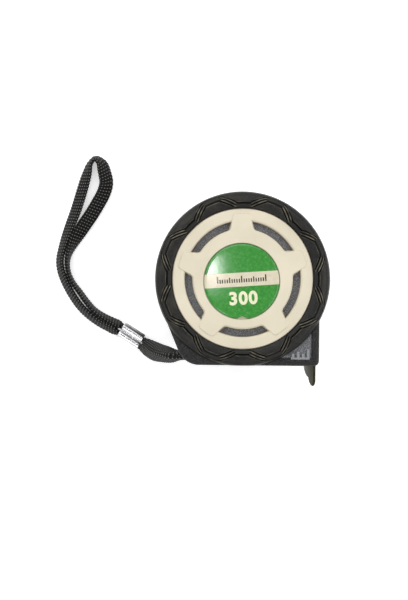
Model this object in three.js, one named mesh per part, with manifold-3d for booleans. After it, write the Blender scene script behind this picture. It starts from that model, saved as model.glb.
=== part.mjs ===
// A pocket tape measure with a wrist strap: a three-metre blade in a round case.
// Millimetres, +Z up. The case lies on its back: +Z is out of the label face, +X is the way
// the blade is pulled and -Y is the case's flat base. The drum's axis is X = Y = 0, and
// Z = 0 is the outer face of the belt clip, which the case rests on.
import * as THREE from "three";
import { mergeVertices } from "three/addons/utils/BufferGeometryUtils.js";
import Module from "manifold-3d";

const wasm = await Module();
wasm.setup();

// ---- Driving dimensions ----
const GAP = 0.3; // clearance between pieces that touch
const MID_Z = 21.2; // parting plane of the two case halves
const CASE_RADIUS = 32.5;
const FRONT_WALL_X = 29.1; // wall with the blade mouth
const REAR_WALL_TILT = THREE.MathUtils.degToRad(22.6); // of the lower rear wall, from upright
const REAR_CORNER_RADIUS = 8.5;
const FRONT_CORNER_RADIUS = 2;

// Heights, measured out from the parting plane on either side
const CAVITY_HALF = 9.8; // inner face of the case
const SEAT_HALF = 12.6; // outer face of the case under the disc and the bumper
const CORNER_HALF = 13.8; // outer face of the two lower corners
const CREST_HALF = 16.3; // outermost point of the bumper ring
const DISC_RIM_HALF = 15.2;
const DISC_FLOOR_HALF = 14.2;
const DISC_TOP_HALF = 15.6;

const CAVITY_RADIUS = 26;
const BUMPER_INNER_RADIUS = 26.6;
const BUMPER_SKIRT_RADIUS = 31.2; // inner radius of the skirt that wraps the case's edge
const BUMPER_SKIRT_HALF = 10.2; // lowest reach of the skirt

const DISC_RADIUS = 26.3;
const LABEL_RADIUS = 14.2;
const HUB_RADIUS = 18.6;
const SLOT_INNER_RADIUS = 18.9;
const SLOT_OUTER_RADIUS = 21.5;
const SLOT_HALF_ANGLE = THREE.MathUtils.degToRad(23);
const SPOKE_COUNT = 5;
const SPOKE_END_RADIUS = 24.4;

const BLADE_WIDTH = 16;
const BLADE_THICKNESS = 0.25;
const BLADE_Y = -24.65; // height of the blade's lowest line on its way out
const BLADE_SAGITTA = 2.2; // depth of the blade's curved section
const COIL_INNER_RADIUS = 20.8;
const COIL_OUTER_RADIUS = 24.2;
const FLANGE_RADIUS = 25.4;
const SPINDLE_RADIUS = 4.2;

const HOOK_THICKNESS = 0.9;
const HOOK_DROP = 14.9; // from the blade down to the tip of the hook
const HOOK_TRAVEL = 1; // float that makes up for the hook's own thickness
const RIVET_XS = [18.4, 22.2];
const RIVET_SHANK_RADIUS = 0.7;
const RIVET_HEAD_RADIUS = 1.5;

const CLIP_THICKNESS = 1;
const CLIP_WIDTH = 16;
const CLIP_SCREW_Y = 17;

const SCREW_CIRCLE_RADIUS = 28.4;
const SCREW_ANGLES = [67.5, 157.5, 247.5, 337.5].map(THREE.MathUtils.degToRad);

// ---- The wrist strap ----
const STRAP_RADIUS = 1.3;
const STRAP_PIN = new THREE.Vector2(-20.2, -28.4);
const STRAP_PIN_RADIUS = 1.1;
const POCKET_DIRECTION = THREE.MathUtils.degToRad(205); // way out of the strap pocket
const POCKET_WIDTH = 8.4;
const POCKET_HALF_HEIGHT = 4.2;

// Centre lines of the braid: out of the pocket, round the loop and back in again.
const STRAP_TAIL_LOWER = [
  [-23.4, -30.6, 20.6], [-26.6, -30.9, 19.4], [-30.5, -30.9, 15.6], [-34.3, -30.3, 10.2],
  [-37.4, -28.7, 5.2], [-39.6, -27, 2.6],
];
const STRAP_LOOP = [
  [-49.4, -21.2, 2.1], [-52.9, -19.4, 2.0], [-56.6, -17.4, 2.4], [-60.2, -14.8, 3.1],
  [-63.6, -11.6, 3.1], [-66.3, -8.1, 3.1], [-68.7, -4.2, 3.1], [-70.7, -0.2, 3.1],
  [-72.0, 3.8, 3.1], [-72.3, 7.8, 3.1], [-71.4, 12.2, 3.1], [-70.1, 16.6, 3.1],
  [-68.4, 21.4, 3.1], [-66.4, 26.7, 3.1], [-64.8, 31.9, 3.1], [-63.2, 37.5, 3.1],
  [-61.8, 42.4, 3.1], [-60.7, 46.1, 3.1], [-58.6, 48.2, 3.1], [-56.2, 46.6, 3.1],
  [-54.9, 42.8, 2.6], [-54.2, 38.6, 1.9], [-55.3, 34.4, 1.7], [-57.6, 30.0, 1.7],
  [-60.2, 25.6, 1.7], [-63.1, 21.2, 2.0], [-65.7, 16.9, 2.5], [-67.8, 12.7, 2.8],
  [-69.1, 9.0, 3.1], [-69.4, 5.4, 3.1], [-68.6, 1.6, 3.1], [-66.8, -2.0, 3.1],
  [-64.3, -5.3, 3.1], [-61.6, -9.0, 3.1], [-58.4, -12.6, 3.0], [-54.4, -15.3, 2.6],
  [-50.9, -17.1, 2.2], [-47.7, -18.6, 2.1],
];
const STRAP_TAIL_UPPER = [
  [-38.1, -24.2, 2.6], [-35.5, -25.2, 5.2], [-32.1, -26.2, 10.2], [-28.7, -26.9, 15.6],
  [-26.2, -27.3, 19.4], [-24.0, -27.3, 20.6],
];
const FERRULE_CENTRE = new THREE.Vector3(-43.6, -22.8, 2);
const FERRULE_ANGLE = THREE.MathUtils.degToRad(-32);
const FERRULE_LENGTH = 9;
const FERRULE_BARREL_RADIUS = 1.7;
const FERRULE_BARREL_OFFSET = 1.55;

// ---- Materials ----
const plastic = (color) => new THREE.MeshStandardMaterial({ color, roughness: 0.7, metalness: 0 });
const metal = (color) => new THREE.MeshStandardMaterial({ color, roughness: 0.3, metalness: 1 });
const shellPlastic = plastic(0x3b3c3e);
const bumperRubber = plastic(0x17171a);
const creamPlastic = plastic(0xe6dec8);
const greenPaper = plastic(0x42a33a);
const reelPlastic = plastic(0xd8d8d4);
const bladePaint = plastic(0xf0c93a);
const braid = plastic(0x141414);
const brightSteel = metal(0xd9d9dc);
const springSteel = metal(0x7c8087);
const hookSteel = metal(0x8a8a7c);

// ---- Geometry helpers ----

// A closed geometry as a solid that can be joined and cut.
function toSolid(geometry) {
  geometry.deleteAttribute("normal");
  geometry.deleteAttribute("uv");
  const merged = mergeVertices(geometry);
  return new wasm.Manifold(new wasm.Mesh({
    numProp: 3,
    vertProperties: new Float32Array(merged.attributes.position.array),
    triVerts: new Uint32Array(merged.index.array),
  }));
}

function toGeometry(solid) {
  const mesh = solid.getMesh();
  const geometry = new THREE.BufferGeometry();
  geometry.setAttribute("position", new THREE.BufferAttribute(mesh.vertProperties, 3));
  geometry.setIndex(new THREE.BufferAttribute(mesh.triVerts, 1));
  return geometry;
}

// An outline raised from one distance to another from the parting plane, on one side of it.
function plate(shape, side, from, to) {
  const geometry = new THREE.ExtrudeGeometry(shape, { depth: to - from, bevelEnabled: false });
  return geometry.translate(0, 0, side > 0 ? MID_Z + from : MID_Z - to);
}

// Points along an arc about a centre, both ends included.
function arc(radius, start, end, steps, x = 0, y = 0) {
  const points = [];
  for (let i = 0; i <= steps; i++) {
    const angle = start + (end - start) * i / steps;
    points.push(new THREE.Vector2(x + radius * Math.cos(angle), y + radius * Math.sin(angle)));
  }
  return points;
}

function circle(radius, x = 0, y = 0, steps = 48) {
  return new THREE.Shape(arc(radius, 0, 2 * Math.PI, steps, x, y).slice(0, steps));
}

function ring(outer, inner, steps = 48) {
  const shape = circle(outer, 0, 0, steps);
  shape.holes.push(circle(inner, 0, 0, steps));
  return shape;
}

function rectangle(left, bottom, right, top) {
  return new THREE.Shape([
    new THREE.Vector2(left, bottom), new THREE.Vector2(right, bottom),
    new THREE.Vector2(right, top), new THREE.Vector2(left, top),
  ]);
}

// A closed profile of radii and heights, turned about the drum's axis.
function turned(profile, side, segments = 48) {
  const points = profile.map(([radius, height]) => new THREE.Vector2(radius, height));
  points.push(points[0].clone());
  const geometry = new THREE.LatheGeometry(points, segments);
  geometry.rotateX(side > 0 ? Math.PI / 2 : -Math.PI / 2);
  return geometry.translate(0, 0, MID_Z);
}

function unite(first, ...others) {
  return others.reduce((solid, other) => solid.add(toSolid(other)), toSolid(first));
}

function cut(solid, ...tools) {
  return tools.reduce((rest, tool) => rest.subtract(toSolid(tool)), solid);
}

const polar = (radius, angle) => new THREE.Vector2(radius * Math.cos(angle), radius * Math.sin(angle));

// ---- The object ----
const tapeMeasure = new THREE.Group();

function addPiece(name, shape, material) {
  const geometry = shape.isBufferGeometry ? shape : toGeometry(shape);
  const mesh = new THREE.Mesh(geometry, material);
  mesh.name = name;
  tapeMeasure.add(mesh);
}

// Round body, upright front wall and sloping rear wall down to a flat base.
function caseOutline() {
  const base = -CASE_RADIUS;
  const tangent = Math.PI + REAR_WALL_TILT;
  const wallFoot = polar(CASE_RADIUS, tangent);
  const fall = (wallFoot.y - base) / Math.cos(REAR_WALL_TILT);
  const cornerX = wallFoot.x + fall * Math.sin(REAR_WALL_TILT);
  const setback = REAR_CORNER_RADIUS / Math.tan((Math.PI / 2 + REAR_WALL_TILT) / 2);
  const frontTop = -Math.acos(FRONT_WALL_X / CASE_RADIUS);
  const r = FRONT_CORNER_RADIUS;
  return new THREE.Shape([
    ...arc(r, -Math.PI / 2, 0, 3, FRONT_WALL_X - r, base + r),
    ...arc(CASE_RADIUS, frontTop, tangent, 32),
    ...arc(REAR_CORNER_RADIUS, tangent, 1.5 * Math.PI, 6,
      cornerX + setback, base + REAR_CORNER_RADIUS),
  ]);
}

// The outline as a block, with its outer edge rounded.
function caseBlock(side) {
  const round = 1.5;
  const spare = 4;
  const geometry = new THREE.ExtrudeGeometry(caseOutline(), {
    depth: CORNER_HALF - 2 * round + spare,
    bevelThickness: round, bevelSize: round, bevelOffset: -round, bevelSegments: 2,
  });
  geometry.translate(0, 0, side > 0 ? MID_Z - spare + round : MID_Z - CORNER_HALF + round);
  const otherHalf = plate(rectangle(-40, -40, 40, 40), -side, -GAP / 2, spare + 1);
  return cut(toSolid(geometry), otherHalf);
}

function strapPocket(side) {
  const out = polar(1, POCKET_DIRECTION);
  const depth = 14;
  const inside = 4.6; // behind the pin's centre
  const box = new THREE.BoxGeometry(depth, POCKET_WIDTH, POCKET_HALF_HEIGHT + 1);
  box.translate(depth / 2 - inside, 0, side * (POCKET_HALF_HEIGHT - 1) / 2);
  box.rotateZ(POCKET_DIRECTION);
  return box.translate(STRAP_PIN.x + out.x * 0.6, STRAP_PIN.y + out.y * 0.6, MID_Z);
}

// The triangle between the bumper, the front wall and the base, inside a raised border.
function cornerPanel(side) {
  const border = 2.6;
  const shape = new THREE.Shape([
    new THREE.Vector2(FRONT_WALL_X - border, -CASE_RADIUS + border),
    new THREE.Vector2(FRONT_WALL_X - border, -14),
    new THREE.Vector2(15, -14),
    new THREE.Vector2(4, -CASE_RADIUS + border),
  ]);
  return plate(shape, side, CORNER_HALF - 1, CORNER_HALF + 1);
}

function caseHalf(side) {
  const seatRadius = CASE_RADIUS + GAP;
  const shell = cut(
    caseBlock(side),
    plate(circle(seatRadius), side, SEAT_HALF, CORNER_HALF + 1),
    plate(ring(seatRadius, BUMPER_SKIRT_RADIUS - GAP), side, BUMPER_SKIRT_HALF - GAP, SEAT_HALF + 1),
    plate(circle(CAVITY_RADIUS), side, -1, CAVITY_HALF),
    cornerPanel(side),
    strapPocket(side),
    plate(circle(STRAP_PIN_RADIUS + GAP, STRAP_PIN.x, STRAP_PIN.y, 12), side, -1, 8),
    plate(rectangle(4, -27.4, 40, -20.6), side, -1, 9.3),
    plate(rectangle(23, -40, 40, -20.6), side, -1, 9.3),
  );
  const holes = SCREW_ANGLES.map((angle) => {
    const centre = polar(SCREW_CIRCLE_RADIUS, angle);
    const depth = side > 0 ? 8 : CORNER_HALF + 1;
    return plate(circle(1.4, centre.x, centre.y, 10), side, -1, depth);
  });
  return cut(shell, ...holes);
}

addPiece("front_shell", caseHalf(1), shellPlastic);

const heads = SCREW_ANGLES.map((angle) => {
  const centre = polar(SCREW_CIRCLE_RADIUS, angle);
  return plate(circle(2.4, centre.x, centre.y, 14), -1, 11.4, CORNER_HALF + 1);
});
const clipScrewHole = plate(circle(1.5, 0, CLIP_SCREW_Y, 10), -1, CAVITY_HALF + 0.4, CORNER_HALF + 3);
addPiece("rear_shell", cut(caseHalf(-1), ...heads, clipScrewHole), shellPlastic);

// A soft ring with a rounded shoulder and a skirt over the edge of the case.
function bumperRing(side) {
  return turned([
    [BUMPER_INNER_RADIUS, SEAT_HALF + GAP],
    [BUMPER_SKIRT_RADIUS, SEAT_HALF + GAP],
    [BUMPER_SKIRT_RADIUS, BUMPER_SKIRT_HALF],
    [CASE_RADIUS, BUMPER_SKIRT_HALF],
    [CASE_RADIUS, CREST_HALF - 2.8],
    [CASE_RADIUS - 0.8, CREST_HALF - 0.9],
    [CASE_RADIUS - 2.6, CREST_HALF],
    [BUMPER_INNER_RADIUS + 1.6, CREST_HALF],
    [BUMPER_INNER_RADIUS, CREST_HALF - 1.2],
  ], side);
}

addPiece("front_bumper_ring", bumperRing(1), bumperRubber);
const driverHoles = SCREW_ANGLES.map((angle) => {
  const centre = polar(SCREW_CIRCLE_RADIUS + 0.3, angle);
  return plate(circle(1.7, centre.x, centre.y, 12), -1, 12, CREST_HALF + 1);
});
addPiece("rear_bumper_ring", cut(toSolid(bumperRing(-1)), ...driverHoles), bumperRubber);

function arcSlot(centreAngle) {
  const start = centreAngle - SLOT_HALF_ANGLE;
  const end = centreAngle + SLOT_HALF_ANGLE;
  return new THREE.Shape([
    ...arc(SLOT_OUTER_RADIUS, start, end, 6), ...arc(SLOT_INNER_RADIUS, end, start, 6),
  ]);
}

function spoke(angle) {
  const shape = new THREE.Shape([
    [LABEL_RADIUS + 1, -4.6], [SPOKE_END_RADIUS - 1, -3.8], [SPOKE_END_RADIUS, -2.8],
    [SPOKE_END_RADIUS, 2.8], [SPOKE_END_RADIUS - 1, 3.8], [LABEL_RADIUS + 1, 4.6],
  ].map(([x, y]) => new THREE.Vector2(x, y).rotateAround(new THREE.Vector2(), angle)));
  return shape;
}

// A face plate: a floor with arc slots, a raised rim, and spokes out of a raised hub.
function faceDisc(side, hubHole) {
  const floor = circle(DISC_RADIUS);
  const step = 2 * Math.PI / SPOKE_COUNT;
  const spokes = [];
  for (let i = 0; i < SPOKE_COUNT; i++) {
    floor.holes.push(arcSlot(1.5 * Math.PI + i * step));
    spokes.push(plate(spoke(Math.PI / 2 + i * step), side, DISC_FLOOR_HALF - 0.5, DISC_TOP_HALF));
  }
  return unite(
    plate(floor, side, SEAT_HALF + GAP, DISC_FLOOR_HALF),
    plate(ring(DISC_RADIUS, 22.2), side, DISC_FLOOR_HALF - 0.5, DISC_RIM_HALF),
    plate(hubHole ? ring(HUB_RADIUS, LABEL_RADIUS + GAP, 36) : circle(HUB_RADIUS, 0, 0, 36),
      side, DISC_FLOOR_HALF - 0.5, DISC_TOP_HALF),
    ...spokes,
  );
}

addPiece("front_disc", faceDisc(1, true), creamPlastic);
addPiece("front_label",
  plate(circle(LABEL_RADIUS), 1, DISC_FLOOR_HALF + GAP, DISC_FLOOR_HALF + 0.9), greenPaper);
const discScrewHole = plate(circle(1.5, 0, CLIP_SCREW_Y, 10), -1, SEAT_HALF, DISC_TOP_HALF + 1);
addPiece("rear_disc", cut(faceDisc(-1, false), discScrewHole), creamPlastic);

// ---- Screws, pin and belt clip ----

// A pan head and shank, pointing up out of the back of the case.
function screw(x, y, headZ, headRadius, headHeight, shankRadius, length) {
  const profile = [
    [0, 0], [headRadius - 0.5, 0], [headRadius, 0.5], [headRadius, headHeight],
    [shankRadius, headHeight], [shankRadius, headHeight + length - 1], [0, headHeight + length],
  ].map(([radius, height]) => new THREE.Vector2(radius, height));
  const geometry = new THREE.LatheGeometry(profile, 12).rotateX(Math.PI / 2);
  const slotDepth = 0.6;
  const solid = toSolid(geometry.translate(x, y, headZ));
  const bar = new THREE.BoxGeometry(2.2, 0.6, 2 * slotDepth).translate(x, y, headZ);
  const crossBar = new THREE.BoxGeometry(0.6, 2.2, 2 * slotDepth).translate(x, y, headZ);
  return cut(solid, bar, crossBar);
}

SCREW_ANGLES.forEach((angle, i) => {
  const centre = polar(SCREW_CIRCLE_RADIUS, angle);
  const headZ = MID_Z - 12.8;
  addPiece(`case_screw_${i + 1}`, screw(centre.x, centre.y, headZ, 2.1, 1.1, 1.1, 18), springSteel);
});

const pinHalf = 7.6;
addPiece("strap_pin",
  plate(circle(STRAP_PIN_RADIUS, STRAP_PIN.x, STRAP_PIN.y, 12), 1, -pinHalf, pinHalf), springSteel);

// A strip of sheet steel: a pad on the disc, a step out, a flat tongue and a turned-in tip.
function beltClip() {
  const t = CLIP_THICKNESS;
  const padZ = MID_Z - DISC_TOP_HALF - GAP;
  const profile = new THREE.Shape([
    [22, padZ], [10.5, padZ], [7.6, t], [-19, t], [-23.2, 3.2], [-24, 2.6],
    [-19.4, 0], [8.4, 0], [11.2, padZ - t], [22, padZ - t],
  ].map(([y, z]) => new THREE.Vector2(y, z)));
  const strip = new THREE.ExtrudeGeometry(profile, { depth: CLIP_WIDTH, bevelEnabled: false });
  strip.rotateY(Math.PI / 2).rotateX(Math.PI / 2).translate(-CLIP_WIDTH / 2, 0, 0);
  const hole = new THREE.CylinderGeometry(1.6, 1.6, 8, 16).rotateX(Math.PI / 2);
  return cut(toSolid(strip), hole.translate(0, CLIP_SCREW_Y, padZ));
}

addPiece("belt_clip", beltClip(), brightSteel);
const clipHeadZ = MID_Z - DISC_TOP_HALF - GAP - CLIP_THICKNESS - GAP - 1.3;
addPiece("belt_clip_screw", screw(0, CLIP_SCREW_Y, clipHeadZ, 2.9, 1.3, 1.2, 7), brightSteel);

// ---- Reel, blade and return spring ----
addPiece("reel_drum", turned([
  [SPINDLE_RADIUS + 0.4, -CAVITY_HALF + 0.5], [FLANGE_RADIUS, -CAVITY_HALF + 0.5],
  [FLANGE_RADIUS, -BLADE_WIDTH / 2 - GAP], [COIL_INNER_RADIUS - GAP, -BLADE_WIDTH / 2 - GAP],
  [COIL_INNER_RADIUS - GAP, BLADE_WIDTH / 2], [19, BLADE_WIDTH / 2],
  [19, -BLADE_WIDTH / 2 - GAP], [SPINDLE_RADIUS + 0.4, -BLADE_WIDTH / 2 - GAP],
], 1), reelPlastic);
addPiece("reel_cap", turned([
  [SPINDLE_RADIUS + 0.4, BLADE_WIDTH / 2 + GAP], [FLANGE_RADIUS, BLADE_WIDTH / 2 + GAP],
  [FLANGE_RADIUS, CAVITY_HALF - 0.5], [SPINDLE_RADIUS + 0.4, CAVITY_HALF - 0.5],
], 1), reelPlastic);
addPiece("blade_coil", turned([
  [COIL_INNER_RADIUS, -BLADE_WIDTH / 2], [COIL_OUTER_RADIUS, -BLADE_WIDTH / 2],
  [COIL_OUTER_RADIUS, BLADE_WIDTH / 2], [COIL_INNER_RADIUS, BLADE_WIDTH / 2],
], 1), bladePaint);

const spindleSlot = new THREE.BoxGeometry(2 * SPINDLE_RADIUS + 2, 1.1, 2 * CAVITY_HALF);
addPiece("spring_spindle", cut(
  toSolid(plate(circle(SPINDLE_RADIUS, 0, 0, 24), 1, -CAVITY_HALF + GAP, CAVITY_HALF - GAP)),
  spindleSlot.translate(0, 0, MID_Z + 2),
), springSteel);

// A flat spiral whose inner end turns in to the spindle's slot.
function powerSpring() {
  const turns = 7;
  const steps = turns * 20;
  const thickness = 0.4;
  const innerRadius = SPINDLE_RADIUS + 1;
  const outerRadius = 17.6;
  const radiusAt = (i) => innerRadius + (outerRadius - innerRadius) * i / steps;
  const outline = [
    new THREE.Vector2(innerRadius - thickness / 2, thickness / 2),
    new THREE.Vector2(-2, thickness / 2),
    new THREE.Vector2(-2, -thickness / 2),
    new THREE.Vector2(innerRadius + thickness / 2, -thickness / 2),
  ];
  for (let i = 0; i <= steps; i++) {
    outline.push(polar(radiusAt(i) + thickness / 2, 2 * Math.PI * i / 20 + 0.1));
  }
  for (let i = steps; i >= 0; i--) {
    outline.push(polar(radiusAt(i) - thickness / 2, 2 * Math.PI * i / 20 + 0.1));
  }
  return plate(new THREE.Shape(outline), 1, -7.6, 7.6);
}

addPiece("power_spring", powerSpring(), springSteel);

// A flat box bent into the curved section of the blade; flat is where it leaves the coil.
function bendSection(geometry, sagittaAt) {
  const position = geometry.attributes.position;
  for (let i = 0; i < position.count; i++) {
    const across = position.getZ(i) / (BLADE_WIDTH / 2);
    position.setY(i, position.getY(i) + sagittaAt(position.getX(i)) * across * across);
  }
  return geometry;
}

const bladeEndX = 24.6;
const bladeStartX = 1.5;

function rivetHole(x, stretch) {
  const radius = RIVET_SHANK_RADIUS + GAP;
  const shape = new THREE.Shape([
    ...arc(radius, Math.PI / 2, 1.5 * Math.PI, 6, x - stretch),
    ...arc(radius, -Math.PI / 2, Math.PI / 2, 6, x),
  ]);
  const geometry = new THREE.ExtrudeGeometry(shape, { depth: 8, bevelEnabled: false });
  return geometry.rotateX(Math.PI / 2).translate(0, BLADE_Y + 4, MID_Z);
}

function bladeLead() {
  const length = bladeEndX - bladeStartX;
  const strip = new THREE.BoxGeometry(length, BLADE_THICKNESS, BLADE_WIDTH, 8, 1, 6);
  strip.translate((bladeStartX + bladeEndX) / 2, 0, 0);
  const flatUntil = 3;
  const curvedFrom = 14;
  bendSection(strip, (x) => BLADE_SAGITTA * THREE.MathUtils.smoothstep(x, flatUntil, curvedFrom));
  const solid = toSolid(strip.translate(0, BLADE_Y, MID_Z));
  return cut(solid, ...RIVET_XS.map((x) => rivetHole(x, 0)));
}

addPiece("blade_lead", bladeLead(), bladePaint);

// The hook follows the blade's curve under its end, then turns down in front of the mouth.
function endHook() {
  const legStart = 15;
  const bendX = 24.6;
  const legY = BLADE_Y - BLADE_THICKNESS / 2 - GAP - HOOK_THICKNESS / 2;
  const bendRadius = 1;
  const legLength = bendX - legStart;
  const bendLength = bendRadius * Math.PI / 2;
  const plateLength = HOOK_DROP - bendRadius;
  const total = legLength + bendLength + plateLength;
  const strip = new THREE.BoxGeometry(total, HOOK_THICKNESS, BLADE_WIDTH, 24, 1, 6);
  strip.translate(total / 2, 0, 0);
  const position = strip.attributes.position;
  const halfWidthAt = (along) => {
    const down = along - legLength;
    if (down < -0.5) return 5.6;
    if (down < 1.5) return THREE.MathUtils.mapLinear(down, -0.5, 1.5, 5.6, 8);
    const toTip = THREE.MathUtils.clamp((total - along) / 4, 0, 1);
    return 2.5 + 5.5 * Math.sqrt(1 - (1 - toTip) ** 2);
  };
  for (let i = 0; i < position.count; i++) {
    const along = position.getX(i);
    const across = position.getZ(i) / (BLADE_WIDTH / 2) * halfWidthAt(along);
    const lift = position.getY(i) + BLADE_SAGITTA * (across / (BLADE_WIDTH / 2)) ** 2;
    const turn = THREE.MathUtils.clamp((along - legLength) / bendRadius, 0, Math.PI / 2);
    const fall = Math.max(0, along - legLength - bendLength);
    const x = legStart + Math.min(along, legLength) + bendRadius * Math.sin(turn) + lift * Math.sin(turn);
    const y = legY - bendRadius * (1 - Math.cos(turn)) - fall + lift * Math.cos(turn);
    position.setXYZ(i, x, y, across + MID_Z);
  }
  return cut(toSolid(strip), ...RIVET_XS.map((x) => rivetHole(x, HOOK_TRAVEL)));
}

addPiece("end_hook", endHook(), hookSteel);

// A rivet with a head above the blade and a clenched head under the hook.
function hookRivet(x) {
  const top = BLADE_THICKNESS / 2 + GAP;
  const bottom = -BLADE_THICKNESS / 2 - 2 * GAP - HOOK_THICKNESS;
  const profile = [
    [0, bottom - 0.6], [RIVET_HEAD_RADIUS - 0.3, bottom - 0.5], [RIVET_HEAD_RADIUS, bottom],
    [RIVET_SHANK_RADIUS, bottom], [RIVET_SHANK_RADIUS, top + 0.1],
    [RIVET_HEAD_RADIUS, top + 0.1], [RIVET_HEAD_RADIUS - 0.3, top + 0.6], [0, top + 0.7],
  ].map(([radius, height]) => new THREE.Vector2(radius, height));
  return new THREE.LatheGeometry(profile, 12).translate(x, BLADE_Y, MID_Z);
}

RIVET_XS.forEach((x, i) => addPiece(`hook_rivet_${i + 1}`, hookRivet(x), brightSteel));

// ---- Strap and ferrule ----
function strapTube(points, steps) {
  const curve = new THREE.CatmullRomCurve3(points.map((point) => new THREE.Vector3(...point)));
  const section = new THREE.Shape();
  for (let i = 0; i < 8; i++) {
    const corner = polar(STRAP_RADIUS, (i + 0.5) * Math.PI / 4);
    if (i === 0) section.moveTo(corner.x, corner.y);
    else section.lineTo(corner.x, corner.y);
  }
  return new THREE.ExtrudeGeometry(section, { steps, extrudePath: curve, bevelEnabled: false });
}

addPiece("strap_tail_lower", strapTube(STRAP_TAIL_LOWER, 10), braid);
addPiece("strap_loop", strapTube(STRAP_LOOP, 60), braid);
addPiece("strap_tail_upper", strapTube(STRAP_TAIL_UPPER, 10), braid);

// Two crimped barrels side by side.
function strapFerrule() {
  const barrel = (offset) => {
    const tube = new THREE.CylinderGeometry(
      FERRULE_BARREL_RADIUS, FERRULE_BARREL_RADIUS, FERRULE_LENGTH, 16);
    tube.rotateZ(Math.PI / 2).translate(0, offset, 0).rotateZ(FERRULE_ANGLE);
    return tube.translate(FERRULE_CENTRE.x, FERRULE_CENTRE.y, FERRULE_CENTRE.z);
  };
  return unite(barrel(-FERRULE_BARREL_OFFSET), barrel(FERRULE_BARREL_OFFSET));
}

addPiece("strap_ferrule", strapFerrule(), brightSteel);

export default tapeMeasure;
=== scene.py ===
import math

import bmesh
import bpy
import numpy as np
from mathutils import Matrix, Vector


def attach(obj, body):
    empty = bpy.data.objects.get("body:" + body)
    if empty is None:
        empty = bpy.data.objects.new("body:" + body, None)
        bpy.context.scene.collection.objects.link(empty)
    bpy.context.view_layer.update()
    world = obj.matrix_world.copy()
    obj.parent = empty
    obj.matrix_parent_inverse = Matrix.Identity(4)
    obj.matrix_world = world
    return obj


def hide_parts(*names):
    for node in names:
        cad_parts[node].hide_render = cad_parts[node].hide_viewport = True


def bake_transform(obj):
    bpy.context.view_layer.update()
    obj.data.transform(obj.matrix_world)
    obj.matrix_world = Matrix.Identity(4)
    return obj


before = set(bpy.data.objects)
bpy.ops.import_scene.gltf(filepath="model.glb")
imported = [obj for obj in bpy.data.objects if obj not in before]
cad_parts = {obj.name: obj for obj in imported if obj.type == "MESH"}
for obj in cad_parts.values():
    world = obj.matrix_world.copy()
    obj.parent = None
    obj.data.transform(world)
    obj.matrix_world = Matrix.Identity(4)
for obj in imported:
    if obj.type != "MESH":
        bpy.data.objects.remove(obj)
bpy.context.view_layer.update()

MM = 0.001

# ---- Dimensions in millimetres, as the case is designed ----
MID_Z = 21.2  # parting plane of the case halves
CASE_RADIUS = 32.5
FRONT_WALL_X = 29.1
REAR_WALL_TILT = math.radians(22.6)
REAR_CORNER_RADIUS = 8.5
FRONT_CORNER_RADIUS = 2.0
GAP = 0.3

# Distances out from the parting plane
CAVITY_HALF = 9.8
SEAT_HALF = 12.6
CORNER_HALF = 13.8
CREST_HALF = 16.3
SKIRT_HALF = 10.2
DISC_BASE_HALF = 12.9
DISC_RIM_HALF = 15.25
DISC_TOP_HALF = 15.6
LABEL_FLOOR_HALF = 14.4

CAVITY_RADIUS = 26.0
BUMPER_INNER_RADIUS = 26.6
BUMPER_RADIUS = 32.85
BUMPER_SKIRT_RADIUS = 31.2
CREST_INNER_RADIUS = 27.3
CREST_RADIUS = 29.1
SHOULDER_RADIUS = 31.3
DISC_RADIUS = 26.4
LABEL_RADIUS = 14.2
LABEL_CENTRE = (-0.35, -0.9)
HUB_RADIUS = 18.5
SPOKE_END_RADIUS = 24.4
SPOKE_HALF_WIDTH = 3.95
SPOKE_WIDTH_RADIUS = 20.6  # where the spoke has that width
SPOKE_FLARE = 0.22
SLOT_INNER_RADIUS = 18.75
SLOT_OUTER_RADIUS = 21.8
SPOKE_STEP = math.radians(72)
PLATE_TURN = math.radians(1.5)
TREAD_STEP = math.radians(45)
TREAD_INNER_RADIUS = 27.35
TREAD_REACH = 4.1

SCREW_CIRCLE_RADIUS = 28.4
SCREW_ANGLES = [math.radians(a) for a in (67.5, 157.5, 247.5, 337.5)]
STRAP_PIN = (-20.2, -28.4)
POCKET_ANGLE = math.radians(205)

# The sunk panel in the lower front corner
PANEL_INSET = 2.6
PANEL_TOP = -14
PANEL_LEFT = 4
PANEL_DEPTH = 0.6
SEAM_WIDTH = 0.5

BLADE_HALF_WIDTH = 8.0
BLADE_Y = -24.65
BLADE_SAGITTA = 2.2
BLADE_HALF_THICKNESS = 0.125  # of the CAD blade
HOOK_TRAVEL = 1.0
RIVET_XS = (18.4, 22.2)

# ---- The view: straight down on the label face, as the tape lies on its back ----
FACE_Z = MID_Z + CREST_HALF
VIEW_CENTRE = (-14.4, -8.05)
VIEW_DISTANCE = 450.0
VIEW_HEIGHT = 223.6  # height of the picture in the plane of the face
SENSOR = 36.0
ROLL = math.radians(0.6)


def add_object(name, data):
    item = bpy.data.objects.new(name, data)
    bpy.context.scene.collection.objects.link(item)
    return item


def make_camera():
    data = bpy.data.cameras.new("camera")
    data.sensor_width = SENSOR
    data.lens = SENSOR * VIEW_DISTANCE / VIEW_HEIGHT
    data.clip_start, data.clip_end = 0.01, 10
    camera = add_object("camera", data)
    camera.location = (VIEW_CENTRE[0] * MM, VIEW_CENTRE[1] * MM, (FACE_Z + VIEW_DISTANCE) * MM)
    camera.rotation_euler = (0, 0, ROLL)
    bpy.context.scene.camera = camera


make_camera()

# ---- Mesh helpers ----


def mesh_piece(name, points, faces, sharp=None):
    """A smooth mesh from points in millimetres; edges sharper than `sharp` degrees stay crisp."""
    mesh = bpy.data.meshes.new(name)
    mesh.from_pydata((np.asarray(points, float) * MM).tolist(), [], faces)
    mesh.polygons.foreach_set("use_smooth", [True] * len(mesh.polygons))
    if sharp:
        mesh.set_sharp_from_angle(angle=math.radians(sharp))
    mesh.update()
    return add_object(name, mesh)


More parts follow.
